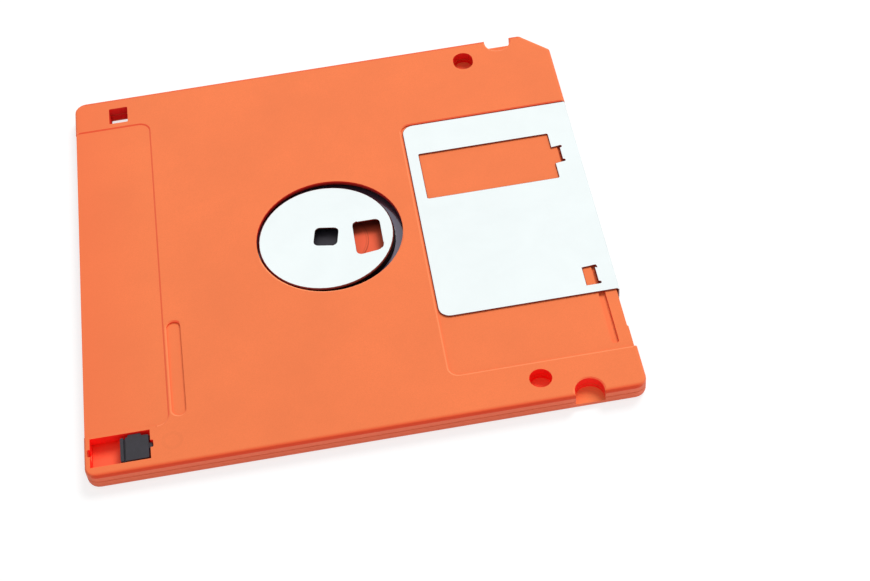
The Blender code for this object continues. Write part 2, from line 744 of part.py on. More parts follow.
def make_shutter(material):
    """One folded sheet: two plates and the spine between them, with a window and lanced tabs."""
    top = case_thickness - SHUTTER_SETBACK
    foot = SHUTTER_SETBACK
    radius = SHUTTER_FOLD_RADIUS
    front = shutter_front
    profile = [(shutter_rear, foot)]
    profile += arc((front - radius, foot + radius), radius, 270, 360, 4)
    profile += arc((front - radius, top - radius), radius, 0, 90, 4)
    profile += [(shutter_rear, top)]
    inner = radius - SHEET
    profile += [(shutter_rear, top - SHEET)]
    profile += arc((front - radius, top - radius), inner, 90, 0, 4)
    profile += arc((front - radius, foot + radius), inner, 360, 270, 4)
    profile += [(shutter_rear, foot + SHEET)]
    width = shutter_high - shutter_low
    shutter = prism("shutter", [profile], -width / 2, width / 2)
    for vert in shutter.data.vertices:
        x, z, across = vert.co
        vert.co = (x, (shutter_low + shutter_high) / 2 - across, z)
    corners = rounded(
        [
            (shutter_rear, shutter_low, SHUTTER_CORNER_RADIUS),
            (front + OVERRUN, shutter_low, 0),
            (front + OVERRUN, shutter_high, 0),
            (shutter_rear, shutter_high, SHUTTER_CORNER_RADIUS),
        ]
    )
    frame = box_outline(
        shutter_rear - SHUTTER_CORNER_RADIUS,
        front + 3 * OVERRUN,
        shutter_low - SHUTTER_CORNER_RADIUS,
        shutter_high + SHUTTER_CORNER_RADIUS,
    )
    trim = prism("shutter_corner_trim", [frame, corners], -OVERRUN, case_thickness + OVERRUN, cutters)
    cut(shutter, trim)
    half = SHUTTER_WINDOW_WIDTH / 2
    margin = SHUTTER_WINDOW_MARGIN
    window = box_outline(
        head_low_x - margin,
        head_high_x + margin,
        SHUTTER_WORKING_TRAVEL - half,
        SHUTTER_WORKING_TRAVEL + half,
        SHUTTER_WINDOW_RADIUS,
        2,
    )
    cut_prism(shutter, "shutter_window", window, -OVERRUN, case_thickness + OVERRUN)
    tab_x = groove_x - GROOVE_WIDTH / 2 + SHUTTER_EDGE_GAP
    lower_y = shutter_low + LOWER_TAB_TO_END
    plate_low = top - SHEET - OVERRUN
    for name, y in (("upper", SHUTTER_WORKING_TRAVEL), ("lower", lower_y)):
        reach = TAB_WIDTH / 2 + TAB_RELIEF
        opening = box_outline(tab_x - TAB_HOLE_REACH, tab_x + SHEET, y - reach, y + reach)
        cut_prism(shutter, name + "_tab_hole", opening, plate_low, top + OVERRUN)
        for side in (-1, 1):
            middle = (tab_x + SHEET, y + side * (reach - TAB_RELIEF / 2))
            relief = circle(middle, TAB_RELIEF, 2 * ARC_STEPS)
            cut_prism(shutter, f"{name}_tab_relief_{side}", relief, plate_low, top + OVERRUN)
        tab = box_outline(tab_x, tab_x + SHEET + SHEET / 4, y - TAB_WIDTH / 2, y + TAB_WIDTH / 2)
        join_prism(shutter, name + "_tab", tab, top - SHEET - TAB_LENGTH, top)
    tongue = box_outline(
        front_x - TONGUE_REACH,
        shutter_front - SHEET / 2,
        tongue_y - TONGUE_WIDTH / 2,
        tongue_y + TONGUE_WIDTH / 2,
    )
    join_prism(shutter, "spring_tongue", tongue, seam_z - SHEET / 2, seam_z + SHEET / 2)
    apply_modifiers(shutter)
    place_origin(shutter, front, (shutter_low + shutter_high) / 2, seam_z)
    dress(shutter, material)
    return shutter


def spring_points():
    """Centre line of the spring: a leg to the case, the coil, and a leg to the shutter's tongue."""
    anchor = Vector((corner_front - WIRE_DIAMETER, -(locating_y - CORNER_CUT), 0.0))
    push_y = tongue_y - TONGUE_WIDTH / 2 - WIRE_DIAMETER
    push = Vector((front_x - TONGUE_REACH + WIRE_DIAMETER, push_y, 0.0))
    room = COIL_RADIUS + WIRE_DIAMETER / 2 + COIL_CLEARANCE
    middle_x = corner_rear + room
    middle = Vector((middle_x, -math.sqrt((corner_ring + room) ** 2 - (middle_x - hub_x) ** 2), 0.0))
    first = math.atan2(anchor.y - middle.y, anchor.x - middle.x) - math.pi / 2
    last = math.atan2(push.y - middle.y, push.x - middle.x) + math.pi / 2
    sweep = (last - first) % (2 * math.pi) - 2 * math.pi * COIL_TURNS
    rise = (WIRE_DIAMETER + COIL_GAP) * abs(sweep) / (2 * math.pi)
    low = seam_z - rise / 2
    steps = 16 * COIL_TURNS
    points = [(anchor.x, anchor.y, low)]
    for step in range(steps + 1):
        share = step / steps
        angle = first + sweep * share
        x = middle.x + COIL_RADIUS * math.cos(angle)
        y = middle.y + COIL_RADIUS * math.sin(angle)
        points.append((x, y, low + rise * share))
    points.append((push.x, push.y, low + rise))
    return points


def make_spring(material):
    curve = bpy.data.curves.new("shutter_spring", "CURVE")
    curve.dimensions = "3D"
    curve.bevel_depth = WIRE_DIAMETER / 2
    curve.bevel_resolution = 2
    curve.use_fill_caps = True
    points = spring_points()
    spline = curve.splines.new("POLY")
    spline.points.add(len(points) - 1)
    for point, place in zip(spline.points, points):
        point.co = (*place, 1.0)
    spring = bpy.data.objects.new("shutter_spring", curve)
    parts.objects.link(spring)
    curve.materials.append(material)
    return spring


def main():
    clear_scene()
    orange = finish("orange_plastic", (0.88, 0.2, 0.07), 0.5)
    steel = finish("bright_steel", (0.78, 0.78, 0.78), 0.32, 1.0)
    dark = finish("dark_plastic", (0.045, 0.042, 0.05), 0.55)
    fabric = finish("liner_fabric", (0.82, 0.81, 0.78), 0.95)
    film = finish("magnetic_coating", (0.035, 0.03, 0.032), 0.3)
    wire = finish("spring_wire", (0.6, 0.6, 0.6), 0.35, 1.0)
    glue = finish("adhesive", (0.7, 0.66, 0.5), 0.6)
    strip = finish("clear_strip", (0.75, 0.76, 0.74), 0.4)
    make_hub_side_shell(orange)
    make_label_side_shell(orange)
    make_liners(fabric)
    make_liner_lifter(strip)
    make_film(film)
    make_adhesive_ring(glue)
    make_hub_plate(steel)
    make_wear_pad(dark)
    make_slider(dark)
    make_shutter(steel)
    make_spring(wire)


main()
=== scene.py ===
import math

import bmesh
import bpy
from bpy.props import FloatProperty, FloatVectorProperty, PointerProperty
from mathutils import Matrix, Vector


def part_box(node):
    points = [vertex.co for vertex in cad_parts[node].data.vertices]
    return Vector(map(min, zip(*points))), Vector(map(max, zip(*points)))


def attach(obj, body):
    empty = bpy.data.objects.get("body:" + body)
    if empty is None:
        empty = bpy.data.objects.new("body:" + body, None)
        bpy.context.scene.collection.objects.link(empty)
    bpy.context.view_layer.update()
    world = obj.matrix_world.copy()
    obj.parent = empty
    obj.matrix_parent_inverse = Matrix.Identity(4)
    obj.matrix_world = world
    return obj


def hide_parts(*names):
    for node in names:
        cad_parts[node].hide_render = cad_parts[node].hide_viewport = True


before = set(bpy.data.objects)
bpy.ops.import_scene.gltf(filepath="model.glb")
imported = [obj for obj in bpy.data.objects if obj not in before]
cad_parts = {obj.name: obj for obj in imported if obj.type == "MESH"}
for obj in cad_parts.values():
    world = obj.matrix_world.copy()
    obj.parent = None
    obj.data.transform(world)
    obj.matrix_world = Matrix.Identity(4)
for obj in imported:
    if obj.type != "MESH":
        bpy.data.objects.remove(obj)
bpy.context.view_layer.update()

bl_info = {
    "name": "Floppy Disk",
    "version": (1, 0, 0),
    "blender": (4, 5, 0),
    "location": "View3D > Sidebar > Floppy Disk",
    "description": "Finishes and fine edges for a 3.5-inch floppy disk, and a stage to show it on",
    "category": "Object",
}

MERGE_DISTANCE = 1e-6
SAME_LEVEL = 1e-5
SHARP = math.radians(50)
SMOOTH = math.radians(35)
SMOOTH_ON_SLOPES = math.radians(17)
FLOOR_GAP = 0.00002
FLOOR_THICKNESS = 0.02
SEAM_Z = 0.00165
DISK_CENTRE = (-0.00195, -0.00033, 0.0)
MOULD_MARK = (-0.03233, -0.0402, 0.0)
OPENING = (-0.0014, 0.0, 0.0)
OPENING_EDGE = (0.0131, 0.0136)
OPENING_REACH = 0.0145
SEEN_THROUGH_HUB = 0.012
FILM_HOLE_REACH = 0.014
HUB_HOLES_REACH = 0.0112
HUB_HOLE_EDGES_REACH = 0.0115
HUB_RIM = (0.0119, 0.0127)
POCKET_CORNER = (-0.035, -0.03655)
LOCATING_HOLES = (Vector((0.0298, 0.04005, 0.0)), Vector((0.0298, -0.04005, 0.0)))
LOCATING_HOLE_REACH = 0.0023

# The pocket, the holes and the notches lie further out than this from the case's middle line.
HOLE_ROW = 0.0371

# Levels over the label side, from which the floors of the holes and the recesses are told apart.
FOOT_LEVEL = 0.0004
LOWEST_FLOOR = 0.0007
HIGHEST_FLOOR = 0.0027
RECESS_LEVEL = 0.00285
FACE_LEVEL = 0.003

# Half the case's length, and how far from its middle its outer walls begin in x and in y.
HALF_LENGTH = 0.0471
OUTER_WALLS = (0.04645, 0.0443)

# Areas of the case seen from above: from and to in x, then in y.
BY_LOCATING_HOLE = ((0.027, 0.0325), (0.0375, 0.0435))
FAR_HOLES = ((-0.0412, 0.0325), (0.0375, 0.0435))
BESIDE_FINGER_SLOT = ((-0.0303, -0.0295), (-0.0345, -0.0153))
SHUTTER_RECESS = ((0.0142, 0.0462), (-0.0368, 0.025))
LABEL_RECESS = ((-0.0472, -0.0325), (-0.0368, 0.0368))


class CaseSettings(bpy.types.PropertyGroup):
    plastic: FloatVectorProperty(
        name="Plastic", description="Colour of the case's plastic",
        default=(0.93, 0.215, 0.073), subtype="COLOR", min=0, max=1,
    )
    # The deep red painted on the walls and floors in the holes, and on slopes facing away from the main lamp,
    # is painted shade.
    painted_shade_red: FloatVectorProperty(
        name="Wall colour", description="Deeper colour of the walls inside the case's holes",
        default=(0.94, 0.022, 0.014), subtype="COLOR", min=0, max=1,
    )
    # The paler colour of the edge slopes that face the main lamp is a painted highlight.
    painted_highlight: FloatVectorProperty(
        name="Highlight edge", description="Paler colour of the edges that are highlit most",
        default=(1.0, 0.33, 0.14), subtype="COLOR", min=0, max=1,
    )
    # The redder colour of the floors deep in the case is painted shade.
    painted_floor_shade: FloatVectorProperty(
        name="Floor colour", description="Warmer colour of the floors deep in the case",
        default=(1.0, 0.12, 0.06), subtype="COLOR", min=0, max=1,
    )
    edge: FloatProperty(
        name="Edge rounding", description="How far the label side's cut edges are rounded",
        default=0.0001, unit="LENGTH", min=0,
    )
    slope: FloatProperty(
        name="Edge slope", description="Width of the soft slope along the edges of the hub side",
        default=0.00028, unit="LENGTH", min=0,
    )
    slope_drop: FloatProperty(
        name="Edge drop", description="How far that slope falls",
        default=0.0001, unit="LENGTH", min=0,
    )
    step_drop: FloatProperty(
        name="Step drop",
        description="How much further it falls along the recesses for the shutter and the label",
        default=0.00003, unit="LENGTH", min=0,
    )
    opening_shift: FloatProperty(
        name="Opening shift", description="How far the hub opening lies towards the near side",
        default=0.00015, unit="LENGTH", min=0,
    )
    hole_widening: FloatProperty(
        name="Hole widening", description="How much wider each locating hole is on every side",
        default=0.0001, unit="LENGTH", min=0,
    )
    seam: FloatProperty(
        name="Seam rounding", description="Rounding of the edges along the seam between the shells",
        default=0.00006, unit="LENGTH", min=0,
    )
    grain: FloatProperty(
        name="Grain size", description="Size of one grain of the moulded surface",
        default=0.00016, unit="LENGTH", min=0.00001,
    )
    grain_depth: FloatProperty(
        name="Grain depth", description="Depth of the moulded grain",
        default=0.000006, unit="LENGTH", min=0,
    )


class MetalSettings(bpy.types.PropertyGroup):
    steel: FloatVectorProperty(
        name="Steel", description="Colour of the shutter's and the hub's steel",
        default=(0.92, 0.985, 0.985), subtype="COLOR", min=0, max=1,
    )
    edge: FloatProperty(
        name="Sheet edge rounding", description="Rounding of the sheet's punched edges",
        default=0.00009, unit="LENGTH", min=0,
    )
    # The punched edges' dark red is painted shade and a painted reflection of the orange case.
    punched: FloatVectorProperty(
        name="Punched edge", description="Colour of the sheet's punched edges",
        default=(0.19, 0.005, 0.003), subtype="COLOR", min=0, max=1,
    )
    # The hub rim's brown is a painted reflection of the orange case.
    rim: FloatVectorProperty(
        name="Hub rim", description="Colour of the hub's drawn wall",
        default=(0.2, 0.035, 0.026), subtype="COLOR", min=0, max=1,
    )
    hub_shift: FloatVectorProperty(
        name="Hub shift", description="How far the hub's raised rim lies from the hub's axis",
        default=(-0.00015, 0.00006, 0.0), subtype="TRANSLATION", unit="LENGTH",
    )
    wire: FloatVectorProperty(
        name="Wire", description="Colour of the spring's wire",
        default=(0.6, 0.6, 0.6), subtype="COLOR", min=0, max=1,
    )


class InsideSettings(bpy.types.PropertyGroup):
    coating: FloatVectorProperty(
        name="Coating", description="Colour of the magnetic coating",
        default=(0.05, 0.032, 0.052), subtype="COLOR", min=0, max=1,
    )
    fabric: FloatVectorProperty(
        name="Liner", description="Colour of the non-woven liners",
        default=(0.82, 0.81, 0.78), subtype="COLOR", min=0, max=1,
    )
    dark: FloatVectorProperty(
        name="Dark plastic", description="Colour of the slider and the wear pad",
        default=(0.017, 0.015, 0.021), subtype="COLOR", min=0, max=1,
    )
    adhesive: FloatVectorProperty(
        name="Adhesive", description="Colour of the ring that holds the film to the hub",
        default=(0.7, 0.66, 0.5), subtype="COLOR", min=0, max=1,
    )
    strip: FloatVectorProperty(
        name="Lifter", description="Colour of the strip under the liner",
        default=(0.75, 0.76, 0.74), subtype="COLOR", min=0, max=1,
    )
    film_lap: FloatProperty(
        name="Film lap", description="How far the film's inner edge reaches in to the hub",
        default=0.00021, unit="LENGTH", min=0,
    )
    edge: FloatProperty(
        name="Slider edge rounding", description="Rounding of the slider's edges",
        default=0.00008, unit="LENGTH", min=0,
    )


class StageSettings(bpy.types.PropertyGroup):
    floor: FloatProperty(
        name="Floor", description="Width of the floor", default=3.0, unit="LENGTH", min=0.5,
    )
    key_power: FloatProperty(
        name="Main lamp", description="Power of the main lamp", default=21.6, unit="POWER", min=0,
    )
    fill_power: FloatProperty(
        name="Low lamp", description="Power of the lamp low in front of the near side",
        default=1.2, unit="POWER", min=0,
    )
    surround: FloatProperty(
        name="Surrounding light", description="Strength of the light from all round",
        default=0.42, min=0,
    )
    camera_place: FloatVectorProperty(
        name="Camera place", description="Where the camera stands",
        default=(0.0016933297, -0.2133489002, 0.23462752), subtype="TRANSLATION", unit="LENGTH",
    )
    camera_turn: FloatVectorProperty(
        name="Camera turn", description="How the camera is turned",
        default=tuple(math.radians(a) for a in (40.174981, 4.055799, -8.775597)), subtype="EULER",
    )
    lens: FloatProperty(
        name="Lens", description="Focal length in millimetres", default=71.55407, min=1,
    )


class Wire:
    """One output of a shader node, used in Python arithmetic."""

    def __init__(self, nodes, socket):
        self.nodes = nodes
        self.socket = socket

    def sum_of(self, operation, first, second):
        return self.nodes.node("ShaderNodeMath", {"operation": operation}, {0: first, 1: second})

    def __add__(self, other):
        return self.sum_of("ADD", self, other)

    def __radd__(self, other):
        return self.sum_of("ADD", other, self)

    def __sub__(self, other):
        return self.sum_of("SUBTRACT", self, other)

    def __rsub__(self, other):
        return self.sum_of("SUBTRACT", other, self)

    def __mul__(self, other):
        return self.sum_of("MULTIPLY", self, other)

    def __rmul__(self, other):
        return self.sum_of("MULTIPLY", other, self)

    def __abs__(self):
        return self.nodes.node("ShaderNodeMath", {"operation": "ABSOLUTE"}, {0: self})

    def __lt__(self, other):
        return self.sum_of("LESS_THAN", self, other)

    def __gt__(self, other):
        return self.sum_of("GREATER_THAN", self, other)


class Nodes:
    """An emptied node tree that nodes are added to."""

    def __init__(self, tree):
        self.tree = tree
        tree.nodes.clear()

    def node(self, kind, settings, values, output=0):
        made = self.tree.nodes.new(kind)
        for name, setting in settings.items():
            if name == "stops":
                self.set_stops(made.color_ramp, setting)
            else:
                setattr(made, name, setting)
        for name, value in values.items():
            if isinstance(value, Wire):
                self.tree.links.new(value.socket, made.inputs[name])
            else:
                made.inputs[name].default_value = value
        return Wire(self, made.outputs[output]) if made.outputs else None

    def set_stops(self, ramp, stops):
        while len(ramp.elements) < len(stops):
            ramp.elements.new(1.0)
        for element, (position, grey) in zip(ramp.elements, stops):
            element.position = position
            element.color = (grey, grey, grey, 1.0)

    def others(self, wire, *names):
        """Further outputs of the node that a wire comes from."""
        return [Wire(self, wire.socket.node.outputs[name]) for name in names]


class Finish(Nodes):
    """A node material for one finish of the disk."""

    def __init__(self, name):
        self.material = bpy.data.materials.new(name)
        self.material.use_nodes = True
        super().__init__(self.material.node_tree)

    def place(self):
        return self.node("ShaderNodeTexCoord", {}, {}, "Object")

    def parts(self, vector):
        """The x, y and z of a vector."""
        x = self.node("ShaderNodeSeparateXYZ", {}, {"Vector": vector})
        return x, *self.others(x, "Y", "Z")

    def stretched(self, scale, centre=(0, 0, 0)):
        """Object coordinates, moved so that centre is the origin and stretched by scale."""
        shift = [-c * s for c, s in zip(centre, scale)]
        return self.node("ShaderNodeMapping", {}, {"Vector": self.place(), "Location": shift, "Scale": scale})

    def distance(self, centre):
        """How far the surface is from the upright line through centre."""
        flat = self.stretched((1.0, 1.0, 0.0), centre)
        return self.node("ShaderNodeVectorMath", {"operation": "LENGTH"}, {0: flat}, "Value")

    def noise(self, size, detail=2.0, roughness=0.5, distortion=0.0, vector=None):
        """Soft noise whose lumps are about size metres wide."""
        values = {
            "Vector": vector or self.place(), "Scale": 1 / size, "Detail": detail,
            "Roughness": roughness, "Distortion": distortion,
        }
        return self.node("ShaderNodeTexNoise", {}, values)

    def ramp(self, value, stops):
        return self.node("ShaderNodeValToRGB", {"stops": stops}, {"Fac": value})

    def bands(self, value, low, high, stops):
        """A ramp over a measure that lies between low and high, with its stops in the same measure."""
        span = high - low
        shares = [((place - low) / span, grey) for place, grey in stops]
        return self.ramp((value - low) * (1 / span), shares)

    def tint(self, share, first, second):
        """The first colour, going over into the second as share goes from 0 to 1."""
        values = {0: share, 6: self.colour(first), 7: self.colour(second)}
        return self.node("ShaderNodeMix", {"data_type": "RGBA"}, values, 2)

    def colour(self, value):
        return value if isinstance(value, Wire) else (*value, 1.0)

    def specks(self, cell, radius, share):
        """1 inside small round specks: one for a share of the cells, about cell metres apart."""
        values = {"Vector": self.place(), "Scale": 1 / cell, "Randomness": 1.0}
        dots = self.node("ShaderNodeTexVoronoi", {}, values)
        chance = self.node("ShaderNodeSeparateColor", {}, {"Color": self.others(dots, "Color")[0]})
        return (dots < radius / cell) * (chance < share)

    def bump(self, height, depth, strength=1.0):
        return self.node("ShaderNodeBump", {}, {"Height": height, "Distance": depth, "Strength": strength})

    def surface(self, **values):
        """The material's shader. Underscores stand for the spaces in the names of its sockets."""
        named = {name.replace("_", " "): value for name, value in values.items()}
        shader = self.node("ShaderNodeBsdfPrincipled", {}, named)
        self.node("ShaderNodeOutputMaterial", {}, {"Surface": shader})
        return self.material


def shade(colour, factor):
    """The colour made lighter or darker, kept within what a surface can have."""
    return tuple(min(1.0, c * factor) for c in colour)


def shade_each(colour, factors):
    return tuple(c * f for c, f in zip(colour, factors))


class CaseRegions:
    """Masks that are 1 on one region of the case and 0 on the rest."""

    def __init__(self, finish):
        x, y, z = finish.parts(finish.place())
        across, along, up = finish.parts(finish.node("ShaderNodeNewGeometry", {}, {}, "Normal"))
        side = abs(y)
        from_opening = finish.distance(OPENING)
        in_hole_row = side > HOLE_ROW
        in_middle = side < HOLE_ROW
        by_opening = from_opening < OPENING_REACH
        floor = (z < HIGHEST_FLOOR) * (z > LOWEST_FLOOR)
        low_strip = [(0.0361, 0.0), (0.0365, 1.0), (0.0414, 1.0), (0.0419, 0.0)]

        # How far a flat-topped slope faces the main lamp, for the painted highlight and painted shade on the
        # edges.
        self.slopes = (across * 0.6 + along * 0.8) * (up > 0.8)
        self.wall = finish.ramp(abs(up), [(0.25, 1.0), (0.93, 0.0)])
        self.inside = (abs(x) < OUTER_WALLS[0]) * (side < OUTER_WALLS[1]) * (z > FOOT_LEVEL)
        under_recess = (z < RECESS_LEVEL) * in_middle * (from_opening > OPENING_REACH)
        self.deep = in_hole_row + by_opening * in_middle + under_recess
        # A darker red band painted on the rounding of the outer rim: painted shade.
        self.rim = finish.bands(side, 0.0, 0.05, [(0.0441, 0.0), (0.04445, 0.3), (0.0448, 1.0)])
        self.rim = self.rim * (z > HIGHEST_FLOOR) * (abs(x) < HALF_LENGTH)
        self.hole_floors = finish.bands(side, 0.0, 0.05, low_strip) * floor * (1 - self.wall)
        self.under_hub = (from_opening < SEEN_THROUGH_HUB) * floor
        # Deeper, darker orange painted towards the label end: painted shade.
        self.label_end_shade = finish.bands(x, -0.1, 0.0, [(-0.047, 1.0), (-0.034, 0.0)])
        self.pad_line = finish.bands(from_opening, 0.0, 0.02, [
            (0.00636, 0.0), (0.00652, 0.6), (0.00664, 0.2), (0.00676, 0.2), (0.00688, 1.0), (0.00704, 0.0),
        ]) * floor
        # The pocket's floor painted deep red towards its far wall: painted shade.
        self.pocket_far_shade = finish.bands(y, -0.045, -0.035, [(-0.04, 0.0), (-0.0372, 1.0)])
        self.pocket_far_shade = self.pocket_far_shade * (y < 0) * (x < 0)
        self.slot_shade = finish.bands(y, -0.005, 0.005, [(0.0005, 0.0), (0.003, 1.0)]) * self.under_hub
        # Walls of the holes on the far side painted darker: painted shade.
        self.far_hole_shade = self.wall * self.inside * (y > HOLE_ROW)
        # The hub opening's wall painted dark below its edge: painted shade.
        below_edge = finish.bands(z, 0.0, 0.005, [(0.00275, 1.0), (0.00315, 0.0)])
        self.opening_wall_shade = self.wall * by_opening * below_edge
        self.mark = finish.bands(finish.distance(MOULD_MARK), 0.0, 0.01, [
            (0.001, 0.0), (0.0014, 1.0), (0.00175, 1.0), (0.00195, 0.0),
        ]) * (z > FACE_LEVEL)
        # A painted red glow: emission on the near holes' floors and walls, standing in for light through the
        # plastic.
        lit = (y < 0) * (z > LOWEST_FLOOR) * (self.hole_floors + self.wall * in_hole_row * self.inside)
        self.painted_glow = lit * ((x < 0) * 0.3 + 0.3)


def moulded_plastic(settings):
    """Satin injection-moulded plastic: fine grain, slight flow clouds, dust specks, a mould mark; with
    painted shade in the holes, recesses and rim, painted highlights on edges facing the main lamp, a painted
    reflection on the outer walls and a painted red glow.
    """
    finish = Finish("orange_plastic")
    case = CaseRegions(finish)
    base, painted_shade_red = tuple(settings.plastic), tuple(settings.painted_shade_red)
    cloud = finish.noise(0.016, 4.0, 0.6)
    fine = finish.noise(settings.grain, 2.0, 0.6)
    coarse = finish.noise(settings.grain * 4.5, 3.0, 0.6)
    to_light = finish.ramp(case.slopes, [(0.06, 0.0), (0.36, 1.0)])
    from_light = finish.ramp(case.slopes * -1.0, [(0.06, 0.0), (0.36, 1.0)])
    # Walls inside the holes, painted deep red as painted shade.
    inner_wall_shade = case.wall * case.inside * (0.55 + 0.45 * case.deep)
    clouds = finish.ramp(cloud, [(0.3, 0.0), (0.7, 1.0)])
    colour = finish.tint(clouds, shade(base, 0.95), shade(base, 1.045))
    for share, second in (
        (finish.ramp(fine, [(0.35, 0.0), (0.65, 1.0)]) * 0.4, shade(base, 0.87)),
        # Painted shade towards the label end.
        (case.label_end_shade * 0.55, shade_each(base, (0.97, 0.8, 0.8))),
        # Floors of the holes and under the hub painted redder: painted shade.
        (case.hole_floors * 0.7 + case.under_hub * 0.75, tuple(settings.painted_floor_shade)),
        # Painted shade on the pocket's floor by its far wall.
        (case.hole_floors * case.pocket_far_shade * 0.55, painted_shade_red),
        (case.pad_line * 0.5, shade(base, 0.3)),
        (case.slot_shade * 0.8, (0.12, 0.004, 0.004)),
        # Outer walls painted pinker: a painted reflection of the white floor.
        (case.wall * (1 - case.inside) * (1 - case.rim), shade_each(base, (0.93, 0.8, 1.15))),
        # Walls inside the holes painted deep red: painted shade.
        (inner_wall_shade * (1 - case.rim), painted_shade_red),
        # Painted shade on the walls of the far holes.
        (case.far_hole_shade * 0.3, shade_each(painted_shade_red, (0.55, 0.5, 0.8))),
        # Painted shade on the hub opening's wall below its edge.
        (case.opening_wall_shade * 0.7, (0.2, 0.01, 0.008)),
        # Painted shade on the outer rim's rounding.
        (case.rim, shade_each(base, (0.84, 0.28, 0.2))),
        # Slopes facing the main lamp painted paler: a painted highlight.
        (to_light * 0.6, tuple(settings.painted_highlight)),
        # Slopes facing away from the main lamp painted deep red: painted shade.
        (from_light * 0.55, painted_shade_red),
        (case.mark * 0.08, shade(base, 0.6)),
        (finish.specks(0.013, 0.00011, 0.16) * 0.6, shade(base, 0.3)),
        (finish.specks(0.017, 0.00013, 0.14) * 0.7, (1.0, 0.85, 0.75)),
    ):
        colour = finish.tint(share, colour, second)
    return finish.surface(
        Base_Color=colour, Roughness=0.42 + cloud * 0.08 + fine * 0.1, IOR=1.5, Specular_IOR_Level=0.3,
        # Painted glow, standing in for light through the plastic.
        Emission_Color=finish.tint(case.painted_glow, (0.0, 0.0, 0.0), (0.2, 0.0, 0.0)),
        Emission_Strength=1.0,
        Normal=finish.bump(fine * 0.6 + coarse * 0.5 + case.mark, settings.grain_depth),
    )


def rolled_steel(settings, name="bright_steel", direction=(900.0, 14000.0, 900.0)):
    """Bright rolled sheet: fine lines along the sheet, faint smudges and hairline scratches."""
    finish = Finish(name)
    steel = tuple(settings.steel)
    lines = finish.noise(1.0, 3.0, 0.65, vector=finish.stretched(direction))
    smudge = finish.noise(0.009, 3.0, 0.6, 0.4)
    scratch_lines = finish.noise(1.0, 1.0, 0.5, 0.35, finish.stretched((60.0, 2600.0, 60.0)))
    scratches = finish.ramp(scratch_lines, [(0.7, 0.0), (0.735, 1.0)])
    toned = finish.tint(finish.ramp(smudge, [(0.35, 0.0), (0.7, 1.0)]) * 0.5, steel, shade(steel, 0.94))
    rough = 0.24 + smudge * 0.12 + lines * 0.06 + scratches * 0.12
    return finish.surface(
        Base_Color=toned, Metallic=1.0, Roughness=rough,
        Normal=finish.bump(lines + scratches * 0.4, 0.0000012),
    )


def punched_edge(settings):
    """Sheared edge of the sheet: dull, with fine lines from the punch; its dark red is painted shade and a
    painted reflection of the orange case.
    """
    finish = Finish("punched_edge")
    base = tuple(settings.punched)
    lines = finish.noise(1.0, 2.0, 0.6, vector=finish.stretched((9000.0, 9000.0, 900.0)))
    return finish.surface(
        Base_Color=finish.tint(lines, shade(base, 0.8), shade(base, 1.2)), Metallic=0.0,
        Roughness=0.45 + lines * 0.2, Specular_IOR_Level=0.12, Normal=finish.bump(lines, 0.000003),
    )


def drawn_rim(settings):
    """The hub's drawn wall: painted brown, a painted reflection of the orange case, and painted shade that
    goes dark towards its foot.
    """
    finish = Finish("drawn_rim")
    base = tuple(settings.rim)
    lines = finish.noise(1.0, 2.0, 0.6, vector=finish.stretched((900.0, 900.0, 9000.0)))
    # Painted shade: the wall goes dark towards its foot.
    foot = finish.bands(finish.parts(finish.place())[2], 0.0, 0.01, [(0.00262, 1.0), (0.0028, 0.0)])
    lined = finish.tint(lines, shade(base, 0.85), shade(base, 1.15))
    return finish.surface(
        Base_Color=finish.tint(foot, lined, shade(base, 0.08)), Metallic=0.9,
        Roughness=0.35 + lines * 0.15, Specular_IOR_Level=0.1, Normal=finish.bump(lines, 0.000001),
    )


def dark_plastic(settings):
    """Dark satin plastic of the slider and the wear pad, slightly scuffed."""
    finish = Finish("dark_plastic")
    base = tuple(settings.dark)
    scuff = finish.noise(0.0012, 4.0, 0.65)
    grain = finish.noise(0.00014, 2.0, 0.6)
    colour = finish.tint(finish.ramp(scuff, [(0.45, 0.0), (0.75, 1.0)]) * 0.6, base, shade(base, 1.9))
    return finish.surface(
        Base_Color=colour, Roughness=0.38 + scuff * 0.2, Specular_IOR_Level=0.5,
        Normal=finish.bump(grain + scuff * 0.4, 0.000006),
    )


def magnetic_coating(settings):
    """Half-gloss magnetic coating with fine rings from the head."""
    finish = Finish("magnetic_coating")
    base = tuple(settings.coating)
    rings = finish.node("ShaderNodeTexNoise", {"noise_dimensions": "1D"}, {
        "W": finish.distance(DISK_CENTRE), "Scale": 9000.0, "Detail": 3.0,
    })
    cloud = finish.noise(0.006, 3.0, 0.5)
    colour = finish.tint(rings * 0.35 + cloud * 0.25, base, shade(base, 1.7))
    return finish.surface(
        Base_Color=colour, Roughness=0.09 + rings * 0.05 + cloud * 0.04, IOR=2.17,
        Specular_Tint=(0.82, 0.82, 1.0, 1.0),
        Normal=finish.bump(rings, 0.0000004),
    )


def nonwoven_fabric(settings):
    """White non-woven liner: crossing fibres pressed flat."""
    finish = Finish("liner_fabric")
    base = tuple(settings.fabric)
    along = finish.noise(1.0, 2.0, 0.6, 1.2, finish.stretched((900.0, 9000.0, 3000.0)))
    across = finish.noise(1.0, 2.0, 0.6, 1.2, finish.stretched((8000.0, 1100.0, 3000.0)))
    fibres = sum(finish.ramp(way, [(0.4, 0.0), (0.62, 1.0)]) * 0.5 for way in (along, across))
    colour = finish.tint(fibres, shade(base, 0.72), shade(base, 1.1))
    return finish.surface(
        Base_Color=colour, Roughness=0.95, Specular_IOR_Level=0.2, Normal=finish.bump(fibres, 0.00004),
    )


def dull_adhesive(settings):
    finish = Finish("adhesive")
    base = tuple(settings.adhesive)
    lumps = finish.noise(0.0006, 3.0, 0.6)
    return finish.surface(
        Base_Color=finish.tint(lumps, shade(base, 0.85), shade(base, 1.1)), Roughness=0.55 + lumps * 0.2,
        Normal=finish.bump(lumps, 0.00002),
    )


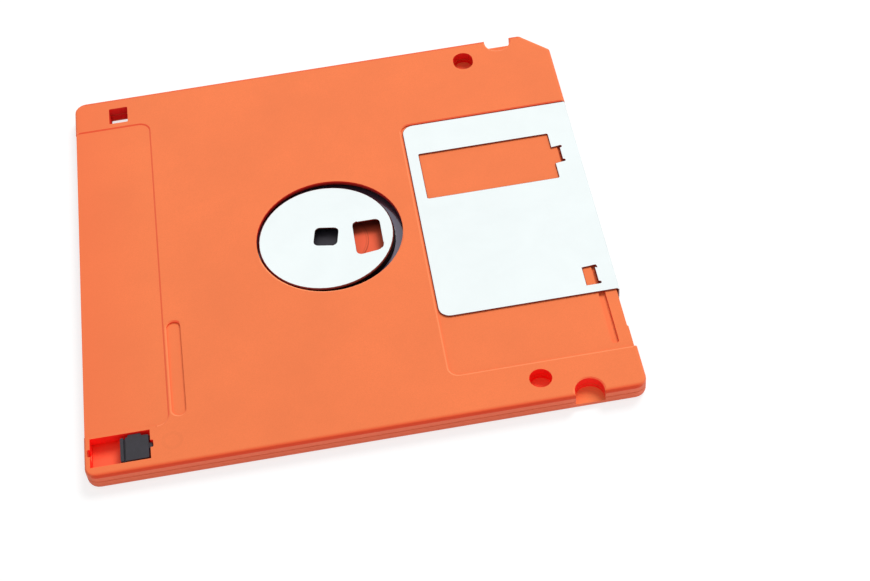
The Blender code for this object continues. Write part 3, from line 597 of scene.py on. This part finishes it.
def milky_strip(settings):
    finish = Finish("clear_strip")
    base = tuple(settings.strip)
    haze = finish.noise(0.003, 3.0, 0.6)
    return finish.surface(
        Base_Color=finish.tint(haze, shade(base, 0.93), shade(base, 1.06)), Roughness=0.25 + haze * 0.2,
        Normal=finish.bump(haze, 0.00002),
    )


def drawn_wire(settings):
    finish = Finish("spring_wire")
    base = tuple(settings.wire)
    marks = finish.noise(0.0003, 3.0, 0.6)
    return finish.surface(
        Base_Color=finish.tint(marks, shade(base, 0.85), shade(base, 1.1)), Metallic=1.0,
        Roughness=0.3 + marks * 0.15, Normal=finish.bump(marks, 0.000002),
    )


def only(piece):
    """Selects this piece alone and makes it the active one."""
    bpy.ops.object.select_all(action="DESELECT")
    piece.select_set(True)
    bpy.context.view_layer.objects.active = piece


def copy_of(node, name):
    """A copy of a CAD node with its triangles merged into whole faces, ready to be shaped."""
    piece = bpy.data.objects.new(name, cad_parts[node].data.copy())
    bpy.context.scene.collection.objects.link(piece)
    piece.data.name = name
    piece.data.materials.clear()
    only(piece)
    bpy.ops.mesh.customdata_custom_splitnormals_clear()
    bpy.ops.object.mode_set(mode="EDIT")
    bpy.ops.mesh.select_mode(type="VERT")
    bpy.ops.mesh.select_all(action="SELECT")
    bpy.ops.mesh.remove_doubles(threshold=MERGE_DISTANCE)
    bpy.ops.mesh.dissolve_limited(angle_limit=math.radians(0.3))
    bpy.ops.object.mode_set(mode="OBJECT")
    return piece


def select(piece, kind, wanted):
    """Selects the vertices, edges or faces that wanted picks, on a piece that is in edit mode."""
    mesh = bmesh.from_edit_mesh(piece.data)
    parts = {"VERT": mesh.verts, "EDGE": mesh.edges, "FACE": mesh.faces}[kind]
    for part in parts:
        part.select = wanted(part)
    if not any(part.select for part in parts):
        raise RuntimeError(f"found nothing to shape on {piece.name}")
    mesh.select_flush_mode()
    bmesh.update_edit_mesh(piece.data)


def start_shaping(piece, kind, wanted):
    """Goes into edit mode on this piece alone, with what wanted picks selected."""
    only(piece)
    bpy.ops.object.mode_set(mode="EDIT")
    bpy.ops.mesh.select_mode(type=kind)
    bpy.ops.mesh.select_all(action="DESELECT")
    select(piece, kind, wanted)


def stop_shaping():
    bpy.ops.object.mode_set(mode="OBJECT")


def round_edges(piece, width, wanted):
    """Rounds the outward edges that wanted picks by the places of their ends."""

    def sharp(edge):
        outward = len(edge.link_faces) == 2 and edge.is_convex
        return outward and edge.calc_face_angle() > SHARP and wanted(*(corner.co for corner in edge.verts))

    start_shaping(piece, "EDGE", sharp)
    bpy.ops.mesh.bevel(offset=width, segments=2, affect="EDGES", clamp_overlap=False, material=-1)
    stop_shaping()


def at_level(face, level):
    return face.normal.z > 0.99 and all(abs(corner.co.z - level) < SAME_LEVEL for corner in face.verts)


def cut_face(piece, level, point, normal, wanted):
    """Cuts the flat faces at this level along a plane, where wanted picks their middle."""
    start_shaping(piece, "FACE", lambda face: at_level(face, level) and wanted(face.calc_center_median()))
    bpy.ops.mesh.bisect(plane_co=point, plane_no=normal)
    stop_shaping()


def by_pocket(place):
    return place.x < POCKET_CORNER[0] and place.y < POCKET_CORNER[1]


def slope_edges(piece, level, width, drop, extra, wanted, on_step):
    """Slopes the flat face at this level along the edges whose corners wanted picks, more on a step."""

    def on_top(face):
        return at_level(face, level) and not by_pocket(face.calc_center_median())

    def on_edge(corner):
        steep = any(abs(face.normal.z) < 0.3 for face in corner.link_faces)
        return abs(corner.co.z - level) < SAME_LEVEL and steep and wanted(corner.co)

    start_shaping(piece, "FACE", on_top)
    bpy.ops.mesh.inset(thickness=width, depth=0, use_boundary=True)
    stop_shaping()
    start_shaping(piece, "VERT", on_edge)
    bpy.ops.transform.translate(value=(0, 0, -drop))
    select(piece, "VERT", lambda corner: corner.select and on_step(corner.co))
    bpy.ops.transform.translate(value=(0, 0, -extra))
    stop_shaping()


def within(x, y, area):
    (left, right), (near, far) = area
    return left < x < right and near < y < far


def on_soft_edge(place):
    """Not on the small round and square holes or the slider's pocket, which have crisp edges."""
    in_hole = within(place.x, abs(place.y), BY_LOCATING_HOLE) or within(place.x, place.y, FAR_HOLES)
    in_pocket = place.x < POCKET_CORNER[0] + 0.00005 and place.y < POCKET_CORNER[1] + 0.0001
    on_far_opening = place.y > -0.002 and (place.xy - Vector(OPENING).xy).length < OPENING_EDGE[1]
    return not (in_hole or in_pocket or on_far_opening or within(place.x, place.y, BESIDE_FINGER_SLOT))


def on_step(place):
    """Along the shutter's recess or the label's."""
    return within(place.x, place.y, SHUTTER_RECESS) or within(place.x, place.y, LABEL_RECESS)


def on_seam(a, b):
    """On the outer edges that the two shells meet in."""
    at_seam = max(abs(a.z - SEAM_Z), abs(b.z - SEAM_Z)) < 0.0002
    return at_seam and on_outline(a) and on_outline(b)


def on_outline(place):
    return abs(place.y) > 0.0445 or place.x < -0.0466 or place.x > 0.0462


def narrow(piece, centre, amount, wanted):
    """Draws the corners that wanted picks in towards centre, seen from above, or out by a minus amount."""
    start_shaping(piece, "VERT", lambda corner: wanted(corner.co))
    mesh = bmesh.from_edit_mesh(piece.data)
    radius = max((corner.co - centre).xy.length for corner in mesh.verts if corner.select)
    share = (radius - amount) / radius
    bpy.ops.transform.resize(value=(share, share, 1.0), center_override=centre)
    stop_shaping()


def move(piece, way, wanted):
    """Moves the corners that wanted picks."""
    start_shaping(piece, "VERT", lambda corner: wanted(corner.co))
    bpy.ops.transform.translate(value=way)
    stop_shaping()


def smooth(piece, angle=SMOOTH):
    """Smooth shading with the large flat faces kept flat."""
    only(piece)
    bpy.ops.object.shade_smooth_by_angle(angle=angle)
    even = piece.modifiers.new("flat faces stay flat", "WEIGHTED_NORMAL")
    even.keep_sharp = True
    bpy.ops.object.modifier_apply(modifier=even.name)


def dress(piece, *materials):
    piece.data.materials.clear()
    for material in materials:
        piece.data.materials.append(material)


def dress_node(node, material):
    """Gives a CAD node that stays as it is its finish."""
    dress(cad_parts[node], material)


def stand_for(piece, node, body):
    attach(piece, body)
    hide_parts(node)


class FLOPPY_OT_case(bpy.types.Operator):
    """Make the two shells of the case with fine rounded edges"""

    bl_idname = "floppy.case"
    bl_label = "Case shells"

    def execute(self, context):
        settings = context.scene.floppy_case
        plastic = moulded_plastic(settings)
        top = copy_of("hub_side_shell", "hub_side_case")
        self.widen_holes(top, settings.hole_widening)
        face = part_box("hub_side_shell")[1].z
        opening = Vector(OPENING)
        inner, outer = OPENING_EDGE
        move(top, (0, -settings.opening_shift, 0), lambda p: inner < (p - opening).xy.length < outer)
        cut_face(top, face, (POCKET_CORNER[0], 0, face), (1, 0, 0), lambda p: True)
        cut_face(top, face, (0, POCKET_CORNER[1], face), (0, 1, 0), lambda p: p.x < POCKET_CORNER[0])
        slope_edges(
            top, face, settings.slope, settings.slope_drop, settings.step_drop, on_soft_edge, on_step,
        )
        round_edges(top, settings.seam, on_seam)
        smooth(top, SMOOTH_ON_SLOPES)
        dress(top, plastic)
        stand_for(top, "hub_side_shell", "case")
        bottom = copy_of("label_side_shell", "label_side_case")
        self.widen_holes(bottom, settings.hole_widening)
        round_edges(bottom, settings.edge, lambda a, b: max(a.z, b.z) < SAME_LEVEL)
        round_edges(bottom, settings.seam, on_seam)
        smooth(bottom)
        dress(bottom, plastic)
        stand_for(bottom, "label_side_shell", "case")
        return {"FINISHED"}

    def widen_holes(self, piece, amount):
        for hole in LOCATING_HOLES:
            narrow(piece, hole, -amount, lambda p: (p - hole).xy.length < LOCATING_HOLE_REACH)


# The corners of the shutter's two lanced tabs: from and to in y, and how far they move.
TABS = (
    (-0.0219, -0.0173, (0.00024, 0, 0)),
    (-0.0195, -0.0173, (0, 0.0002, 0)),
    (0.0085, 0.0129, (0.0001, 0.00022, 0)),
)
TAB_ENDS = (0.0434, 0.0441)

# The fold begins this far from the front. A face whose normal has a smaller z than this is a punched edge.
FOLD_DEPTH = 0.0008
SHEET_NORMAL_Z = 0.98


class FLOPPY_OT_shutter(bpy.types.Operator):
    """Make the folded steel shutter with its punched edges softened"""

    bl_idname = "floppy.shutter"
    bl_label = "Shutter"

    def execute(self, context):
        settings = context.scene.floppy_metal
        shutter = copy_of("shutter", "steel_shutter")
        for near, far, way in TABS:
            move(shutter, way, lambda p: within(p.x, p.y, (TAB_ENDS, (near, far))) and p.z > SEAM_Z)
        round_edges(shutter, settings.edge, lambda a, b: True)
        smooth(shutter)
        dress(shutter, rolled_steel(settings), punched_edge(settings))
        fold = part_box("shutter")[1].x - FOLD_DEPTH
        for face in shutter.data.polygons:
            if abs(face.normal.z) < SHEET_NORMAL_Z and face.center.x < fold:
                face.material_index = 1
        stand_for(shutter, "shutter", "shutter")
        return {"FINISHED"}


# Which corners of the hub's square hole and drive slot move, from the hub's centre, and how far.
HUB_HOLES = (
    (lambda p: p.x > 0.0045 and p.y < -0.003, (0, -0.00055, 0)),
    (lambda p: 0.0045 < p.x < 0.0064, (-0.0003, 0, 0)),
    (lambda p: 0.0045 < p.x and p.y > 0.0014, (0, 0.0001, 0)),
    (lambda p: p.x < -0.0006 and p.y < 0.0023, (-0.0003, 0, 0)),
    (lambda p: p.x < 0.0025 and p.y > 0.0006, (0, 0.0003, 0)),
)
HUB_EDGE_SHARE = 1.5

# The foot of the hub's wall over the label side, and the depth of its top.
HUB_WALL_FOOT = 0.0015
HUB_TOP_DEPTH = 0.0001

# A face whose normal has a smaller z than this belongs to the hub's wall.
HUB_NORMAL_Z = 0.92


class FLOPPY_OT_hub(bpy.types.Operator):
    """Make the steel hub and finish the ring that holds the film to it"""

    bl_idname = "floppy.hub"
    bl_label = "Hub"

    def execute(self, context):
        metal = context.scene.floppy_metal
        inside = context.scene.floppy_inside
        hub = copy_of("hub_plate", "steel_hub")
        centre = Vector(DISK_CENTRE)
        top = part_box("hub_plate")[1].z - HUB_TOP_DEPTH

        def reach(place):
            return (place - centre).xy.length

        move(hub, metal.hub_shift, lambda p: p.z > HUB_WALL_FOOT and HUB_RIM[0] < reach(p) < HUB_RIM[1])
        for corners, way in HUB_HOLES:
            move(hub, way, lambda p: reach(p) < HUB_HOLES_REACH and corners(p - centre))
        round_edges(
            hub, metal.edge * HUB_EDGE_SHARE,
            lambda a, b: min(a.z, b.z) > top and max(reach(a), reach(b)) < HUB_HOLE_EDGES_REACH,
        )
        smooth(hub)
        dress(hub, rolled_steel(metal, "hub_steel", (14000.0, 900.0, 900.0)), drawn_rim(metal))
        for face in hub.data.polygons:
            if face.normal.z < HUB_NORMAL_Z and face.center.z > SEAM_Z:
                face.material_index = 1
        stand_for(hub, "hub_plate", "disk")
        dress_node("hub_adhesive_ring", dull_adhesive(inside))
        return {"FINISHED"}


class FLOPPY_OT_film_and_liners(bpy.types.Operator):
    """Finish the magnetic film, the two liners and the lifter strip"""

    bl_idname = "floppy.film_and_liners"
    bl_label = "Film and liners"

    def execute(self, context):
        inside = context.scene.floppy_inside
        fabric = nonwoven_fabric(inside)
        film = copy_of("magnetic_film", "coated_film")
        centre = Vector(DISK_CENTRE)
        narrow(film, centre, inside.film_lap, lambda p: (p - centre).xy.length < FILM_HOLE_REACH)
        smooth(film)
        dress(film, magnetic_coating(inside))
        stand_for(film, "magnetic_film", "disk")
        dress_node("hub_side_liner", fabric)
        dress_node("label_side_liner", fabric)
        dress_node("liner_lifter", milky_strip(inside))
        return {"FINISHED"}


class FLOPPY_OT_slider(bpy.types.Operator):
    """Make the write-protect slider and finish the dark pad under the hub"""

    bl_idname = "floppy.slider"
    bl_label = "Write-protect slider"

    def execute(self, context):
        inside = context.scene.floppy_inside
        dark = dark_plastic(inside)
        slider = copy_of("write_protect_slider", "dark_slider")
        round_edges(slider, inside.edge, lambda a, b: min(a.z, b.z) > SEAM_Z)
        smooth(slider)
        dress(slider, dark)
        stand_for(slider, "write_protect_slider", "slider")
        dress_node("hub_wear_pad", dark)
        return {"FINISHED"}


class FLOPPY_OT_spring(bpy.types.Operator):
    """Finish the shutter's wire spring"""

    bl_idname = "floppy.spring"
    bl_label = "Spring"

    def execute(self, context):
        dress_node("shutter_spring", drawn_wire(context.scene.floppy_metal))
        return {"FINISHED"}


class FLOPPY_OT_stage(bpy.types.Operator):
    """Make the floor, the lamps, the surrounding light and the camera"""

    bl_idname = "floppy.stage"
    bl_label = "Stage"

    def execute(self, context):
        settings = context.scene.floppy_stage
        self.make_floor(settings)
        self.make_light(context.scene, settings)
        self.make_camera(context.scene, settings)
        context.scene.view_settings.view_transform = "Standard"
        return {"FINISHED"}

    def make_floor(self, settings):
        bpy.ops.object.select_all(action="DESELECT")
        bpy.ops.mesh.primitive_plane_add(size=settings.floor, location=(0, 0, -FLOOR_GAP))
        floor = bpy.context.object
        floor.name = "floor"
        bpy.ops.object.mode_set(mode="EDIT")
        bpy.ops.mesh.select_all(action="SELECT")
        bpy.ops.mesh.extrude_region_move(TRANSFORM_OT_translate={"value": (0, 0, -FLOOR_THICKNESS)})
        bpy.ops.mesh.select_all(action="SELECT")
        bpy.ops.mesh.normals_make_consistent(inside=False)
        bpy.ops.object.mode_set(mode="OBJECT")
        bpy.ops.object.transform_apply(location=True, rotation=True, scale=True)
        finish = Finish("white_floor")
        mottle = finish.noise(0.08, 2.0)
        white = finish.tint(mottle, (0.84, 0.84, 0.84), (0.86, 0.86, 0.86))
        pale = finish.tint(mottle, (0.31, 0.31, 0.31), (0.32, 0.32, 0.32))
        plain = finish.node("ShaderNodeBsdfPrincipled", {}, {"Base Color": white, "Roughness": 0.9})
        seen = finish.node(
            "ShaderNodeBsdfPrincipled", {},
            {
                "Base Color": pale, "Roughness": 0.9,
                "Emission Color": (1, 1, 1, 1), "Emission Strength": 0.74,
            },
        )
        by_camera = finish.node("ShaderNodeLightPath", {}, {}, "Is Camera Ray")
        mixed = finish.node("ShaderNodeMixShader", {}, {0: by_camera, 1: plain, 2: seen})
        finish.node("ShaderNodeOutputMaterial", {}, {"Surface": mixed})
        dress(floor, finish.material)

    def make_light(self, scene, settings):
        lamps = (
            ("main_lamp", (0.68, 0.86, 1.24), 0.9, settings.key_power, (1.0, 1.0, 1.0)),
            ("low_lamp", (0.12, -0.7, 0.1), 0.4, settings.fill_power, (0.9, 0.93, 1.0)),
        )
        for name, place, size, power, colour in lamps:
            lamp = bpy.data.lights.new(name, "AREA")
            lamp.shape = "DISK"
            lamp.size = size
            lamp.energy = power
            lamp.color = colour
            holder = bpy.data.objects.new(name, lamp)
            holder.location = place
            holder.visible_glossy = False
            holder.rotation_euler = (-Vector(place)).to_track_quat("-Z", "Y").to_euler()
            scene.collection.objects.link(holder)
        scene.world = bpy.data.worlds.new("surrounding_light")
        scene.world.use_nodes = True
        surround = Nodes(scene.world.node_tree)
        path = surround.node("ShaderNodeLightPath", {}, {}, "Is Camera Ray")
        glossy, transmitted = surround.others(path, "Is Glossy Ray", "Is Transmission Ray")
        direct = path + glossy + transmitted
        light, white = (
            surround.node("ShaderNodeBackground", {}, {"Color": (1, 1, 1, 1), "Strength": strength})
            for strength in (settings.surround, 1.0)
        )
        mixed = surround.node("ShaderNodeMixShader", {}, {0: direct > 0.5, 1: light, 2: white})
        surround.node("ShaderNodeOutputWorld", {}, {"Surface": mixed})

    def make_camera(self, scene, settings):
        camera = bpy.data.cameras.new("camera")
        camera.lens = settings.lens
        camera.sensor_fit = "HORIZONTAL"
        camera.sensor_width = 36.0
        camera.clip_start = 0.01
        camera.clip_end = 10.0
        holder = bpy.data.objects.new("camera", camera)
        holder.location = settings.camera_place
        holder.rotation_euler = settings.camera_turn
        scene.collection.objects.link(holder)
        scene.camera = holder


class FLOPPY_PT_sidebar(bpy.types.Panel):
    """The pieces of the floppy disk"""

    bl_label = "Floppy Disk"
    bl_idname = "FLOPPY_PT_sidebar"
    bl_space_type = "VIEW_3D"
    bl_region_type = "UI"
    bl_category = "Floppy Disk"

    def draw(self, context):
        for settings, names in SIDEBAR:
            group = getattr(context.scene, settings)
            box = self.layout.box()
            for name in group.__annotations__:
                box.prop(group, name)
            for operator in names:
                box.operator(operator)


SIDEBAR = (
    ("floppy_case", ("floppy.case",)),
    ("floppy_metal", ("floppy.shutter", "floppy.hub", "floppy.spring")),
    ("floppy_inside", ("floppy.film_and_liners", "floppy.slider")),
    ("floppy_stage", ("floppy.stage",)),
)
CLASSES = (
    CaseSettings, MetalSettings, InsideSettings, StageSettings,
    FLOPPY_OT_case, FLOPPY_OT_shutter, FLOPPY_OT_hub, FLOPPY_OT_film_and_liners,
    FLOPPY_OT_slider, FLOPPY_OT_spring, FLOPPY_OT_stage, FLOPPY_PT_sidebar,
)


def register():
    for kind in CLASSES:
        bpy.utils.register_class(kind)
    bpy.types.Scene.floppy_case = PointerProperty(type=CaseSettings)
    bpy.types.Scene.floppy_metal = PointerProperty(type=MetalSettings)
    bpy.types.Scene.floppy_inside = PointerProperty(type=InsideSettings)
    bpy.types.Scene.floppy_stage = PointerProperty(type=StageSettings)


def unregister():
    del bpy.types.Scene.floppy_stage
    del bpy.types.Scene.floppy_inside
    del bpy.types.Scene.floppy_metal
    del bpy.types.Scene.floppy_case
    for kind in reversed(CLASSES):
        bpy.utils.unregister_class(kind)


def main():
    register()
    bpy.ops.floppy.case()
    bpy.ops.floppy.shutter()
    bpy.ops.floppy.hub()
    bpy.ops.floppy.film_and_liners()
    bpy.ops.floppy.slider()
    bpy.ops.floppy.spring()
    bpy.ops.floppy.stage()


if __name__ == "__main__":
    main()
